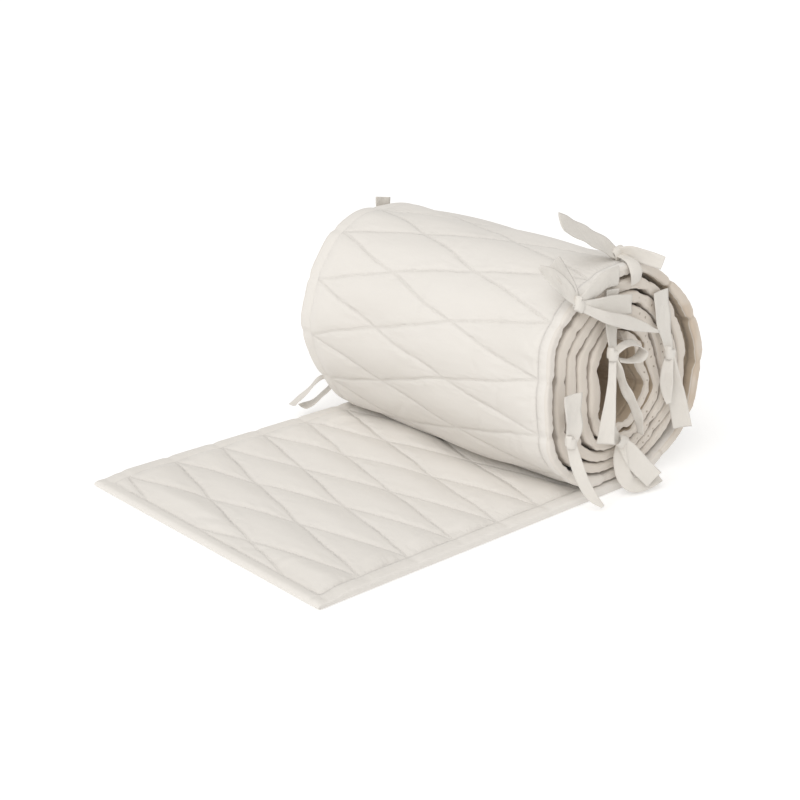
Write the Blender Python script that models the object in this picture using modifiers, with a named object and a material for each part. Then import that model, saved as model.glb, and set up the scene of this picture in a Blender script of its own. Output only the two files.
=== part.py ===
"""Quilted crib bumper, rolled up from one end with the other end lying flat.

One padded panel runs flat along the floor from its free end, passes under the
roll, climbs its far side, goes over the top and winds on inwards. Cotton ribbon
ties are sewn to both long edges and knotted in front of the wound layers.

Frame: X along the panel with the flat end towards -X, Y across the panel along
the roll's axis, Z up, floor at Z = 0. Metres.
"""

import math

import bmesh
import bpy
import numpy as np
from mathutils import Vector

# panel
HALF_WIDTH = 0.150
EDGE_INSET = 0.0025
THICKNESS = 0.0088
TIP_X = -0.3325
TIP_HEM = 0.011
TIP_HEM_THICKNESS = 0.0062
LAYER_GAP = 0.0009

# roll
ROLL_X, ROLL_Z = -0.004, 0.097
TURNS = 5.5
STATIONS_PER_TURN = 32
TURN_STEP_DEG = 30.0

# Layers of the roll, in mm, by winding angle from the bottom of the roll.
# near, far: distance of the outer surface from the roll's centre at each edge
# pitch: how far one turn steps inwards; slack: air left inside the outer turn
ROLL_COLUMNS = ("near", "far", "pitch", "slack")
ROLL_TABLE = (
    (99.0, 99.0, 10.2, 0.0),
    (97.0, 97.0, 10.4, 2.0),
    (102.0, 98.0, 11.6, 5.0),
    (99.0, 97.0, 12.4, 8.0),
    (93.5, 94.5, 12.2, 5.0),
    (93.5, 94.5, 11.6, 2.0),
    (97.5, 96.5, 11.4, 0.0),
    (103.0, 102.0, 12.2, 0.0),
    (102.5, 107.0, 13.2, 0.0),
    (97.5, 104.0, 13.4, 0.0),
    (96.5, 99.0, 12.4, 0.0),
    (94.5, 95.0, 10.8, 0.0),
    (86.8, 86.8, 10.2, 0.0),
)

# quilting: diamonds between two families of stitch lines
CELL = 0.0477
ROUND_CELL = 0.0501
QUILT_ROWS = (0.1356, 0.0511, -0.0343, -0.1375)
QUILT_X = -0.307
CELL_SHIFT = 0.232
SHIFT_LENGTH = 0.20
PUFF = 0.0026
STITCH_DEPTH = 0.0012
TAIL_QUILT_END = (-0.075, -0.045)
TURN_QUILT_DEG = (18.0, 36.0, 312.0, 334.0)

# ribbon
RIBBON_WIDTH = 0.013
RIBBON_THICKNESS = 0.0012
KNOT_SIZE = (0.014, 0.010, 0.012)

COTTON = (0.80, 0.775, 0.735, 1.0)
RIBBON_COTTON = (0.83, 0.81, 0.775, 1.0)


def clear_scene():
    for obj in list(bpy.data.objects):
        bpy.data.objects.remove(obj, do_unlink=True)


def new_collection(name):
    collection = bpy.data.collections.new(name)
    bpy.context.scene.collection.children.link(collection)
    return collection


def fabric(name, colour, roughness):
    material = bpy.data.materials.new(name)
    material.use_nodes = True
    shader = material.node_tree.nodes["Principled BSDF"]
    shader.inputs["Base Color"].default_value = colour
    shader.inputs["Roughness"].default_value = roughness
    shader.inputs["Metallic"].default_value = 0.0
    return material


def ease(value, start, end):
    """Smooth step from 0 at start to 1 at end."""
    t = min(max((value - start) / (end - start), 0.0), 1.0)
    return t * t * (3.0 - 2.0 * t)


def roll_value(name, degrees):
    """Value of one column of ROLL_TABLE at a winding angle within a turn, in metres."""
    column = [row[ROLL_COLUMNS.index(name)] for row in ROLL_TABLE]
    last = len(column) - 1
    t = min(max(degrees / TURN_STEP_DEG, 0.0), last - 1e-9)
    i = int(t)
    f = t - i
    start, end = column[i], column[i + 1]
    slope_start = 0.0 if i == 0 else (end - column[i - 1]) / 2.0
    slope_end = 0.0 if i + 2 > last else (column[i + 2] - start) / 2.0
    value = (2 * f**3 - 3 * f**2 + 1) * start + (f**3 - 2 * f**2 + f) * slope_start
    value += (-2 * f**3 + 3 * f**2) * end + (f**3 - f**2) * slope_end
    return value / 1000.0


def roll_point(winding, y, inward, raised=0.0):
    """Point of the wound panel.

    winding: angle in degrees from the bottom, growing as the panel winds inwards
    inward: 0 on the layer's outer surface, 1 on its inner surface
    raised: height added outwards
    """
    turn = math.floor(winding / 360.0 + 1e-9)
    degrees = winding - 360.0 * turn
    near_share = (HALF_WIDTH - y) / (2.0 * HALF_WIDTH)
    outline = near_share * roll_value("near", degrees) + (1.0 - near_share) * roll_value("far", degrees)
    pitch = roll_value("pitch", degrees)
    floor_radius = ROLL_Z / max(math.cos(math.radians(degrees)), 0.5)
    second_radius = (ROLL_Z - ROLL_TABLE[0][2] / 1000.0) / max(math.cos(math.radians(degrees)), 0.5)
    if degrees < 60.0:
        outline = min(outline, floor_radius)
    if degrees > 345.0:
        outline = min(outline, second_radius)
    filled = ease(winding, 330.0, 400.0)
    thickness = (1.0 - filled) * THICKNESS + filled * (pitch - LAYER_GAP)
    radius = outline - pitch * turn + raised - inward * thickness
    if turn >= 1:
        radius -= roll_value("slack", degrees)
    angle = math.radians(degrees)
    return Vector((ROLL_X + radius * math.sin(angle), y, ROLL_Z - radius * math.cos(angle)))


def quilt_row(y):
    """Row coordinate across the panel: 0 at the far border line, 3 at the near one."""
    return float(np.interp(-y, [-row for row in QUILT_ROWS], range(len(QUILT_ROWS))))


def puff(phase, y):
    """Height of the filling at a point: 0 on the stitch lines, 1 in a cell's middle."""
    row = quilt_row(y)
    first = abs(math.sin(math.pi * (phase + row / 2.0)))
    second = abs(math.sin(math.pi * (phase - row / 2.0)))
    return (first * second) ** 0.7


def outer_arc_length(winding_steps):
    """Length along the outer surface of the first turn, at the middle of the panel."""
    points = [roll_point(step, 0.0, 0.0) for step in winding_steps]
    lengths = [(b - a).length for a, b in zip(points, points[1:])]
    return [sum(lengths[:i]) for i in range(len(points))]


def turn_phase(length):
    """Quilting phase along the outer turn, from its length past the bottom of the roll."""
    start = (ROLL_X - QUILT_X) / CELL
    return start + length / ROUND_CELL + CELL_SHIFT * ease(length, 0.0, SHIFT_LENGTH)


def fine_columns():
    """Y of the grid lines: the two edges, the stitched rows and the points halfway between."""
    rows = np.interp(np.arange(0.0, 3.01, 0.5), range(len(QUILT_ROWS)), QUILT_ROWS)
    edge = HALF_WIDTH - EDGE_INSET
    return [edge] + [float(y) for y in rows] + [-edge]


def coarse_columns():
    edge = HALF_WIDTH - EDGE_INSET
    return [edge, -edge]


def flat_station(x, thickness, quilted, phase_index=0):
    """Loop of points across the flat part: upper face, near edge, lower face, far edge."""
    columns = fine_columns() if quilted else coarse_columns()
    upper = []
    for i, y in enumerate(columns):
        rim = i in (0, len(columns) - 1)
        height = thickness - STITCH_DEPTH
        if quilted and not rim:
            fade = 1.0 - ease(x, *TAIL_QUILT_END)
            lift = -STITCH_DEPTH + PUFF * puff((x - QUILT_X) / CELL, y)
            height = thickness + fade * lift
        elif not rim:
            height = thickness
        upper.append(Vector((x, y, height)))
    lower = [Vector((x, y, 0.0)) for y in coarse_columns()]
    middle = [Vector((x, y, thickness * 0.45)) for y in (HALF_WIDTH, -HALF_WIDTH)]
    return {"inside": upper, "outside": lower, "middle": middle, "index": phase_index}


def turn_station(winding, quilted, phase_index=0, phase=0.0):
    """The same loop in the roll: the panel's upper face becomes the inside of the turn."""
    fade = ease(winding, TURN_QUILT_DEG[0], TURN_QUILT_DEG[1])
    fade *= 1.0 - ease(winding, TURN_QUILT_DEG[2], TURN_QUILT_DEG[3])
    columns = fine_columns() if quilted else coarse_columns()
    outside = []
    for i, y in enumerate(columns):
        rim = i in (0, len(columns) - 1)
        raised = 0.0
        if quilted:
            lift = -STITCH_DEPTH if rim else -STITCH_DEPTH + PUFF * puff(phase, y)
            raised = fade * lift
        outside.append(roll_point(winding, y, 0.0, raised))
    inside = [roll_point(winding, y, 1.0) for y in coarse_columns()]
    middle = [roll_point(winding, y, 0.5) for y in (HALF_WIDTH, -HALF_WIDTH)]
    return {"inside": inside, "outside": outside, "middle": middle, "index": phase_index}


def panel_stations():
    stations = [flat_station(TIP_X, TIP_HEM_THICKNESS, False)]
    stations.append(flat_station(TIP_X + TIP_HEM, THICKNESS - STITCH_DEPTH, True, -1))
    quarter = math.ceil(((TIP_X + TIP_HEM) - QUILT_X) / CELL * 4.0 + 0.4)
    while QUILT_X + quarter * CELL / 4.0 < TAIL_QUILT_END[1] + CELL / 4.0:
        stations.append(flat_station(QUILT_X + quarter * CELL / 4.0, THICKNESS, True, quarter))
        quarter += 1
    stations.append(flat_station((TAIL_QUILT_END[1] + ROLL_X) / 2.0, THICKNESS, False))
    steps = [0.5 * i for i in range(721)]
    lengths = outer_arc_length(steps)
    phases = [turn_phase(length) for length in lengths]
    stations.append(turn_station(0.0, False))
    stations.append(turn_station(9.0, False))
    quarter = math.ceil(float(np.interp(TURN_QUILT_DEG[0] - 3.0, steps, phases)) * 4.0)
    last = math.floor(float(np.interp(TURN_QUILT_DEG[3] + 4.0, steps, phases)) * 4.0)
    while quarter <= last:
        winding = float(np.interp(quarter / 4.0, phases, steps))
        stations.append(turn_station(winding, True, quarter, quarter / 4.0))
        quarter += 1
    step = 360.0 / STATIONS_PER_TURN
    first = math.ceil((winding + 4.0) / step)
    for i in range(first, int(TURNS * STATIONS_PER_TURN) + 1):
        stations.append(turn_station(i * step, False))
    return stations


def bridge(faces, row_a, row_b, index):
    """Faces between two rows of vertex numbers with equal counts, or with two points in one row."""
    if len(row_a) == len(row_b):
        for k in range(len(row_a) - 1):
            a, b, c, d = row_a[k], row_a[k + 1], row_b[k + 1], row_b[k]
            if len(row_a) == 2:
                faces.append((a, b, c, d))
            elif (index + k - 1) % 2:
                faces.append((a, b, d))
                faces.append((b, c, d))
            else:
                faces.append((a, b, c))
                faces.append((a, c, d))
        return
    few, many = (row_a, row_b) if len(row_a) == 2 else (row_b, row_a)
    half = len(many) // 2
    for k in range(len(many) - 1):
        tip = few[0] if k < half else few[1]
        faces.append((tip, many[k], many[k + 1]))
    faces.append((few[0], few[1], many[half]))


def make_panel(name, material, collection):
    vertices = []
    faces = []
    rows = []
    for station in panel_stations():
        numbers = {"index": station["index"]}
        for part in ("inside", "outside", "middle"):
            numbers[part] = list(range(len(vertices), len(vertices) + len(station[part])))
            vertices.extend(station[part])
        rows.append(numbers)
    for a, b in zip(rows, rows[1:]):
        bridge(faces, a["inside"], b["inside"], a["index"])
        bridge(faces, a["outside"], b["outside"], a["index"])
        for side, end in ((0, 0), (1, -1)):
            faces.append((a["inside"][end], b["inside"][end], b["middle"][side], a["middle"][side]))
            faces.append((a["middle"][side], b["middle"][side], b["outside"][end], a["outside"][end]))
    for cap in (rows[0], rows[-1]):
        faces.append((cap["inside"][0], cap["inside"][1], cap["middle"][1],
                      cap["outside"][1], cap["outside"][0], cap["middle"][0]))
    mesh = bpy.data.meshes.new(name)
    mesh.from_pydata([tuple(v) for v in vertices], [], faces)
    work = bmesh.new()
    work.from_mesh(mesh)
    bmesh.ops.recalc_face_normals(work, faces=work.faces)
    if work.calc_volume(signed=True) < 0.0:
        bmesh.ops.reverse_faces(work, faces=work.faces)
    work.to_mesh(mesh)
    work.free()
    panel = bpy.data.objects.new(name, mesh)
    collection.objects.link(panel)
    mesh.materials.append(material)
    mesh.shade_smooth()
    mesh.set_sharp_from_angle(angle=math.radians(40.0))
    return panel


# Ties, in mm. A strand runs from its seam on the panel's edge to the knot, an end
# hangs free from the knot. Each line: knot or None, then the strips by their points
# and the direction of the ribbon's width.
EDGE_ON = (0.60, 0.72, -0.34)
TIES = {
    "tie_near_top": ((-14, -126, 202.5), (
        (((-6, -150.95, 183), (-9, -153.0, 197), (-14, -126, 202.5)), (1, 0, 0.1)),
        (((-14, -126, 202.5), (-42, -128, 221), (-70, -130, 238)), (0.1, 0.98, 0.1)),
        (((-14, -126, 202.5), (0, -146, 202), (12, -166, 198)), (0.75, 0.35, 0.5)),
    )),
    "tie_near_upper": ((-72, -140, 187), (
        (((-31, -150.95, 188), (-58, -153.0, 190), (-72, -140, 187)), (0.15, 0.0, 1.0)),
        (((-72, -140, 187), (-84, -136, 198), (-94, -130, 206)), (0.5, 0.6, 0.5)),
        (((-72, -140, 187), (-80, -139, 201), (-83, -134, 212)), (0.7, 0.6, 0.2)),
        (((-72, -140, 187), (-69, -153.5, 175), (-30, -155.5, 158), (8, -157, 137)), (0.35, 0.0, 0.9)),
    )),
    "tie_near_middle": ((-36, -159, 132), (
        (((-27, -150.95, 180), (-28, -152.2, 156), (-36, -159, 132)), (1, 0, 0)),
        (((-36, -159, 132), (-40, -162, 95), (-46, -164, 58)), (1, 0.1, 0.1)),
        (((-36, -159, 132), (-20, -162, 95), (-2, -164, 58)), (0.25, 0.95, 0.1)),
        (((-36, -159, 132), (-18, -160, 130), (-2, -159, 122)), (0.15, 0.2, 1.0)),
    )),
    "tie_near_right": ((41, -157, 113), (
        (((31, -150.95, 168), (35, -152.5, 142), (41, -157, 113)), (1, 0, 0)),
        (((41, -157, 113), (40, -160, 92), (38, -161, 70)), (0.9, 0.4, 0.1)),
        (((41, -157, 113), (49, -160, 78), (56, -162, 42)), (0.8, 0.4, 0.3)),
    )),
    "tie_near_bottom": ((10, -160, 12), (
        (((-24, -150.95, 55), (-8, -153.0, 32), (10, -160, 12)), (0.8, 0.1, 0.6)),
        (((10, -160, 12), (24, -164, 8), (36, -165, 8.5)), (0.1, 0.35, 1.0)),
        (((10, -160, 12), (0, -164, 8), (-14, -166, 7.5)), (0.1, 0.35, 1.0)),
    )),
    "tie_near_left": ((-74, -157, 64), (
        (((-70, -150.95, 80), (-72, -153.0, 72), (-74, -157, 64)), (1, 0, 0)),
        (((-74, -157, 64), (-79, -161, 82), (-81, -161, 99)), (1, 0, 0)),
        (((-74, -157, 64), (-61, -162, 33), (-46, -168, 7.5)), (0.9, -0.3, 0.3)),
    )),
    "tie_far_top": (None, (
        (((-6, 154.0, 197), (-8, 152.0, 184), (-10, 150.95, 170), (-14, 154, 148)), (1, 0, 0)),
    )),
    "tie_far_low": ((-62, 158, 32), (
        (((-50, 150.95, 46), (-54, 152.6, 40), (-62, 158, 32)), (0.75, 0.0, -0.65)),
        (((-62, 158, 32), (-84, 161, 33), (-110, 163, 18)), EDGE_ON),
        (((-62, 158, 32), (-78, 162, 19), (-98, 164, 11)), EDGE_ON),
    )),
}


def strip_centre(points, steps=4):
    """Smooth line through a strip's points."""
    count = len(points)
    line = []
    for i in range(count - 1):
        before, start = points[max(i - 1, 0)], points[i]
        end, after = points[i + 1], points[min(i + 2, count - 1)]
        for k in range(steps):
            t = k / steps
            value = 2.0 * start + (end - before) * t
            value += (2.0 * before - 5.0 * start + 4.0 * end - after) * t * t
            value += (3.0 * start - before - 3.0 * end + after) * t * t * t
            line.append(value * 0.5)
    line.append(points[-1])
    return line


def make_strip(name, points, width_axis, material, collection):
    """Flat ribbon along a line: an open surface one face wide, thickened by Solidify."""
    line = strip_centre([Vector(p) / 1000.0 for p in points])
    vertices = []
    for i, centre in enumerate(line):
        along = (line[min(i + 1, len(line) - 1)] - line[max(i - 1, 0)]).normalized()
        across = Vector(width_axis)
        across = (across - across.dot(along) * along).normalized() * (RIBBON_WIDTH / 2.0)
        vertices.extend((centre + across, centre - across))
    faces = [(2 * i, 2 * i + 1, 2 * i + 3, 2 * i + 2) for i in range(len(line) - 1)]
    mesh = bpy.data.meshes.new(name)
    mesh.from_pydata([tuple(v) for v in vertices], [], faces)
    strip = bpy.data.objects.new(name, mesh)
    collection.objects.link(strip)
    mesh.materials.append(material)
    solidify = strip.modifiers.new("Thickness", "SOLIDIFY")
    solidify.thickness = RIBBON_THICKNESS
    solidify.offset = 0.0
    return strip


def make_knot(name, centre, material, collection):
    """Small rounded lump where the ribbon crosses itself."""
    mesh = bpy.data.meshes.new(name)
    work = bmesh.new()
    bmesh.ops.create_cube(work, size=1.0)
    bmesh.ops.scale(work, vec=KNOT_SIZE, verts=work.verts)
    work.to_mesh(mesh)
    work.free()
    knot = bpy.data.objects.new(name, mesh)
    knot.location = Vector(centre) / 1000.0
    collection.objects.link(knot)
    mesh.materials.append(material)
    bevel = knot.modifiers.new("Round", "BEVEL")
    bevel.width = 0.003
    bevel.segments = 2
    return knot


def make_tie(name, knot_centre, strips, material, parts, cutters):
    pieces = []
    for i, (points, width_axis) in enumerate(strips):
        target = parts if knot_centre is None else cutters
        label = name if knot_centre is None else name + "_strip_" + str(i + 1)
        pieces.append(make_strip(label, points, width_axis, material, target))
    if knot_centre is None:
        return pieces[0]
    knot = make_knot(name, knot_centre, material, parts)
    for piece in pieces:
        union = knot.modifiers.new("Join " + piece.name, "BOOLEAN")
        union.operation = "UNION"
        union.object = piece
        piece.hide_render = True
        piece.display_type = "WIRE"
    return knot


def main():
    clear_scene()
    parts = new_collection("Crib bumper")
    cutters = new_collection("Ribbon strips")
    cotton = fabric("Quilted cotton", COTTON, 0.9)
    ribbon = fabric("Cotton ribbon", RIBBON_COTTON, 0.85)
    make_panel("bumper", cotton, parts)
    for name, (knot_centre, strips) in TIES.items():
        make_tie(name, knot_centre, strips, ribbon, parts, cutters)


main()
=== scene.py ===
"""Quilted crib bumper: one padded panel, flat at one end and rolled up at the other,
with cotton ribbon ties knotted along its edges. Metres, +Z up, floor at Z = 0."""

import math

import bpy
import numpy as np
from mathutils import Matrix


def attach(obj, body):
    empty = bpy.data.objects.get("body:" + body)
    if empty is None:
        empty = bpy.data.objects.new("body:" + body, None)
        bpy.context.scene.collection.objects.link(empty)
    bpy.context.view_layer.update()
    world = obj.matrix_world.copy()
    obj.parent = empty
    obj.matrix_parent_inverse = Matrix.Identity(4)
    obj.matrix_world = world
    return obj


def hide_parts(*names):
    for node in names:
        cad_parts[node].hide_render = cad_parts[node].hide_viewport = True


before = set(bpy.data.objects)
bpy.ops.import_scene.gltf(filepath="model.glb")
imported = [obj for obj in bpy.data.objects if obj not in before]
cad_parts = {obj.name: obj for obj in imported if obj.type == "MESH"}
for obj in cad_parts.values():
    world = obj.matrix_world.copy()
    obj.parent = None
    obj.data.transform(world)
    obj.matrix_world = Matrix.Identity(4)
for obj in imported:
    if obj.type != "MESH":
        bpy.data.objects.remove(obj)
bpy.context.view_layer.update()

# ---------------------------------------------------------------- measurements

HALF_WIDTH = 0.150
EDGE_INSET = 0.0032  # depth of the rounded long edges
THICKNESS = 0.0088
TIP_X = -0.3325  # free end of the flat part
TIP_HEM = 0.011
TIP_HEM_THICKNESS = 0.0062
TIP_ROUND = 0.0035
TIP_MIDDLE = 0.0024  # height at which the rounded end closes
LAYER_GAP = 0.0009  # air between windings

ROLL_X, ROLL_Z = -0.004, 0.097
TURNS = 5.5

# every 30 degrees of winding from the bottom of the roll, in mm: outer surface from the
# centre at the near edge, the same at the far edge, step inwards per turn, slack
ROLL_TABLE = np.array((
    (99.0, 99.0, 10.2, 0.0),
    (97.0, 97.0, 10.4, 2.0),
    (102.0, 98.0, 11.6, 5.0),
    (99.0, 97.0, 12.4, 8.0),
    (93.5, 94.5, 12.2, 5.0),
    (93.5, 94.5, 11.6, 2.0),
    (97.5, 96.5, 11.4, 0.0),
    (103.0, 102.0, 12.2, 0.0),
    (102.5, 107.0, 13.2, 0.0),
    (97.5, 104.0, 13.4, 0.0),
    (96.5, 99.0, 12.4, 0.0),
    (94.5, 95.0, 10.8, 0.0),
    (86.8, 86.8, 10.2, 0.0),
)) / 1000.0
NEAR, FAR, PITCH, SLACK = range(4)

CELL, ROUND_CELL = 0.0477, 0.0501  # length of a diamond on the flat part and on the roll
CELL_SHIFT, SHIFT_LENGTH = 0.232, 0.20  # phase gained over the first part of the roll
QUILT_ROWS = (0.1356, 0.0511, -0.0343, -0.1375)  # Y of the crossings, far border first
QUILT_X = -0.307  # X of a crossing on the far border
LINE_FADE = 0.013  # the puffs die out over this distance to a border line
FLAT_ENDS = (-0.060, -0.036)  # X over which the quilting flattens under the roll
EDGE_STARTS = (15.0, 60.0)  # winding angles over which the edge's gathers begin
SECOND_TURN = (330.0, 400.0)  # winding angles over which the outer turn becomes an inner one

FLAT_STITCH, FLAT_PUFF = -0.0022, 0.0062
TURN_STITCH, TURN_PUFF = -0.0014, 0.0040
STRIP_PUFF = 0.0020
SAG, REST_GAP = 0.0055, 0.0004  # the outer turn settling on to the flat part, and the air left there

RIBBON_THICKNESS = 0.0009
FRONT_LEFT = np.array((0.625, 0.699, -0.347))  # from the front left into the scene


def ease(value, start, end):
    """Smooth step: 3 t^2 - 2 t^3 with t running from 0 at start to 1 at end."""
    t = np.clip((np.asarray(value, float) - start) / (end - start), 0.0, 1.0)
    return t * t * (3.0 - 2.0 * t)


def roll_value(column, degrees):
    """Catmull-Rom curve through one column of ROLL_TABLE, level at its two ends."""
    rows = ROLL_TABLE[:, column]
    last = len(rows) - 1
    t = np.clip(degrees / 30.0, 0.0, last - 1e-9)
    i = np.floor(t).astype(int)
    f = t - i
    start, end = rows[i], rows[i + 1]
    slope_start = np.where(i == 0, 0.0, (end - rows[np.maximum(i - 1, 0)]) / 2.0)
    slope_end = np.where(i + 2 > last, 0.0, (rows[np.minimum(i + 2, last)] - start) / 2.0)
    return ((2 * f**3 - 3 * f**2 + 1) * start + (f**3 - 2 * f**2 + f) * slope_start
            + (3 * f**2 - 2 * f**3) * end + (f**3 - f**2) * slope_end)


def roll_points(winding, y, inward, raised):
    """Points of the wound panel: centre + radius * (sin, -cos) of the winding angle.
    The radius is the outline there, less one pitch for each turn, less the slack inside
    the outer turn, less the layer's thickness times inward, plus the raised height."""
    turn = np.floor(winding / 360.0 + 1e-9)
    degrees = winding - 360.0 * turn
    near_share = (HALF_WIDTH - y) / (2.0 * HALF_WIDTH)
    outline = near_share * roll_value(NEAR, degrees) + (1.0 - near_share) * roll_value(FAR, degrees)
    pitch = roll_value(PITCH, degrees)
    level = np.maximum(np.cos(np.radians(degrees)), 0.5)
    outline = np.where(degrees < 60.0, np.minimum(outline, ROLL_Z / level), outline)
    outline = np.where(degrees > 345.0, np.minimum(outline, (ROLL_Z - ROLL_TABLE[0, PITCH]) / level), outline)
    filled = ease(winding, *SECOND_TURN)
    thickness = (1.0 - filled) * THICKNESS + filled * (pitch - LAYER_GAP)
    radius = outline - pitch * turn + raised - inward * thickness
    radius = radius - np.where(turn >= 1, roll_value(SLACK, degrees), 0.0)
    angle = np.radians(degrees)
    return np.stack((ROLL_X + radius * np.sin(angle), y + 0.0 * radius, ROLL_Z - radius * np.cos(angle)), -1)


def quilt_row(y):
    """0 on the far border line, 3 on the near one, linear between the measured rows."""
    return np.interp(-y, [-row for row in QUILT_ROWS], np.arange(len(QUILT_ROWS)))


def border_distance(y):
    """Distance inside the two border stitch lines, negative between a line and its edge."""
    return np.minimum(QUILT_ROWS[0] - y, y - QUILT_ROWS[-1])


def drifted(phase, row):
    """Stitch lines run by hand: the phase wanders by a hundredth of a cell in slow waves."""
    return phase + 0.012 * np.sin(5.1 * row + 2.3 * phase) + 0.008 * np.sin(9.7 * row - 4.1 * phase)


def pillow(phase, row):
    """(|sin pi a| |sin pi b|)^0.55 with a, b = phase +- row/2: 0 on both families of
    stitch lines and 1 in the middle of a diamond."""
    phase = drifted(phase, row)
    first = np.abs(np.sin(np.pi * (phase + row / 2.0)))
    second = np.abs(np.sin(np.pi * (phase - row / 2.0)))
    return (first * second) ** 0.55


def edge_pad(distance, width):
    """Rounded strip between a stitch line and an edge: sin(0.8 pi t)^0.6, t = distance / width."""
    t = np.clip(distance / width, 0.0, 1.0)
    return np.sin(np.pi * t * 0.80) ** 0.6


def relief(phase, y, hem, stitch, puff):
    """Height over the layer's plain face: stitch depth on the lines, and the pillows
    between them, which sink again at the border lines and at the hem line."""
    row = quilt_row(y)
    inside = np.minimum(border_distance(y), hem)
    line = np.clip(inside / LINE_FADE, 0.0, 1.0) ** 0.5
    quilted = stitch + puff * pillow(phase, row) * line
    edge = HALF_WIDTH - EDGE_INSET
    hem_pad = edge_pad(-hem, TIP_HEM)
    side_pad = edge_pad(-border_distance(y), np.where(y > 0.0, edge - QUILT_ROWS[0], edge + QUILT_ROWS[-1]))
    corner = (hem < 0.0) & (border_distance(y) < 0.0)
    pad = np.where(corner, np.minimum(hem_pad, side_pad), np.where(hem < 0.0, hem_pad, side_pad))
    place = np.where(y < 0.0, phase + 0.5, phase)
    dimple = 0.55 * np.exp(-((place - np.round(place)) / 0.075) ** 2) * (hem > 0.0)
    strip = stitch + STRIP_PUFF * np.where(y > 0.0, 0.35 + 0.65 * pad, pad) * (1.0 - dimple)
    far_line = 0.35 * STRIP_PUFF * (1.0 - np.clip(inside / 0.014, 0.0, 1.0)) * (y > 0.0)
    return np.where(inside > 0.0, quilted + far_line, strip)


# soft creases in the cloth: kind, start (winding in degrees or x in metres, and y), end,
# half-width and height in metres, as seen on the roll's front left and beside the fold
CREASES = (
    ("roll", (266.0, -0.0975), (282.0, -0.0940), 0.0022, -0.0012),
    ("roll", (270.0, -0.0900), (279.0, -0.0885), 0.0016, -0.0007),
    ("roll", (286.0, -0.0730), (301.0, -0.0630), 0.0024, -0.0011),
    ("roll", (259.0, -0.0690), (265.0, -0.0740), 0.0018, -0.0009),
    ("roll", (289.0, -0.1060), (303.0, -0.0990), 0.0024, -0.0012),
    ("roll", (292.0, -0.1150), (305.0, -0.1120), 0.0018, -0.0009),
    ("roll", (236.0, -0.0850), (241.0, -0.0930), 0.0020, -0.0009),
    ("roll", (240.0, -0.1180), (246.0, -0.1330), 0.0022, -0.0010),
    ("roll", (250.0, -0.1200), (253.0, -0.1340), 0.0018, -0.0008),
    ("roll", (272.0, -0.1180), (270.0, -0.1350), 0.0022, -0.0010),
    ("roll", (283.0, -0.1220), (281.0, -0.1360), 0.0018, -0.0009),
    ("roll", (300.0, 0.0300), (309.0, 0.0450), 0.0026, -0.0012),
    ("roll", (222.0, -0.1000), (226.0, -0.1180), 0.0022, -0.0009),
    ("roll", (206.0, -0.0300), (214.0, -0.0380), 0.0020, -0.0007),
    ("roll", (232.0, 0.0350), (236.0, 0.0480), 0.0020, -0.0008),
    ("flat", (-0.118, 0.122), (-0.070, 0.104), 0.0040, 0.0016),
    ("flat", (-0.100, 0.104), (-0.074, 0.092), 0.0024, -0.0010),
    ("flat", (-0.316, 0.030), (-0.305, 0.006), 0.0022, -0.0010),
    ("flat", (-0.318, 0.014), (-0.308, -0.004), 0.0020, 0.0009),
    ("flat", (-0.316, -0.040), (-0.306, -0.058), 0.0020, -0.0009),
    ("flat", (-0.316, -0.078), (-0.300, -0.094), 0.0024, 0.0010),
    ("flat", (-0.190, -0.122), (-0.172, -0.134), 0.0024, -0.0010),
    ("flat", (-0.100, -0.118), (-0.088, -0.132), 0.0026, -0.0010),
)


def creases(run, y, run_of):
    """Sum of troughs and ridges: height * exp(-(d / half-width)^2), d being the distance
    from the crease's segment in the plane of the flat cloth."""
    total = np.zeros(np.broadcast(run, y).shape)
    for kind, start, end, half, height in CREASES:
        a, b = (np.array((run_of(kind, place), across)) for place, across in (start, end))
        along = b - a
        t = np.clip(((run - a[0]) * along[0] + (y - a[1]) * along[1]) / (along @ along), 0.0, 1.0)
        distance = np.hypot(run - a[0] - t * along[0], y - a[1] - t * along[1])
        depth = height * (0.35 + 0.65 * np.sin(np.pi * np.clip(t, 0.08, 0.92)))
        total += depth * np.exp(-(distance / half) ** 2)
    return total


def edge_gathers(phase, run, y):
    """How far a wound layer is drawn in near its edges, 0 to 1 each: notches where the
    stitch lines end, small even gathers of the seam, and slow loose places."""
    place = np.where(y < 0.0, phase + 0.5, phase)
    notch = np.exp(-((place - np.round(place)) / 0.085) ** 2)
    start = np.where(y < 0.0, 0.0, 1.9)
    gather = 0.5 + 0.5 * np.sin(2.0 * np.pi * run / 0.0091 + 3.1 * np.sin(run / 0.037) + start)
    gather = gather * (0.35 + 0.65 * np.sin(run / 0.0171 + 1.7 * np.sin(run / 0.061)) ** 2)
    loose = 0.5 + 0.5 * np.sin(run / 0.021 + 1.3 * np.sin(run / 0.05) + np.where(y < 0.0, 0.0, 2.7))
    return notch, gather, loose


def soft_warp(points):
    """Slow waves that bend all layers together, strongest at the two ends of the roll."""
    x, y, z = points[..., 0], points[..., 1], points[..., 2]
    end = 0.25 + 0.75 * ease(np.abs(y), 0.07, 0.14)
    wound = ease(z, 0.012, 0.045) * ease(x, -0.14, -0.09)
    near = np.where(y < 0.0, 1.0, -1.0)
    dx = 0.0017 * np.sin(z / 0.017 + 0.6 + near) + 0.0008 * np.sin(z / 0.0071 + x / 0.02 + 2.0)
    dz = 0.0013 * np.sin(x / 0.019 + 1.1 * near) + 0.0006 * np.sin(x / 0.0083 + z / 0.03)
    return points + np.stack((dx * end * wound, 0.0 * y, dz * end * wound), -1)


# ---------------------------------------------------------------- panel

FINE = 121  # columns across the side that shows
HALF_PICKS = (0, 2, 4, 6, 8, 11, 14, 19, 26, 36, 48)
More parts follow.
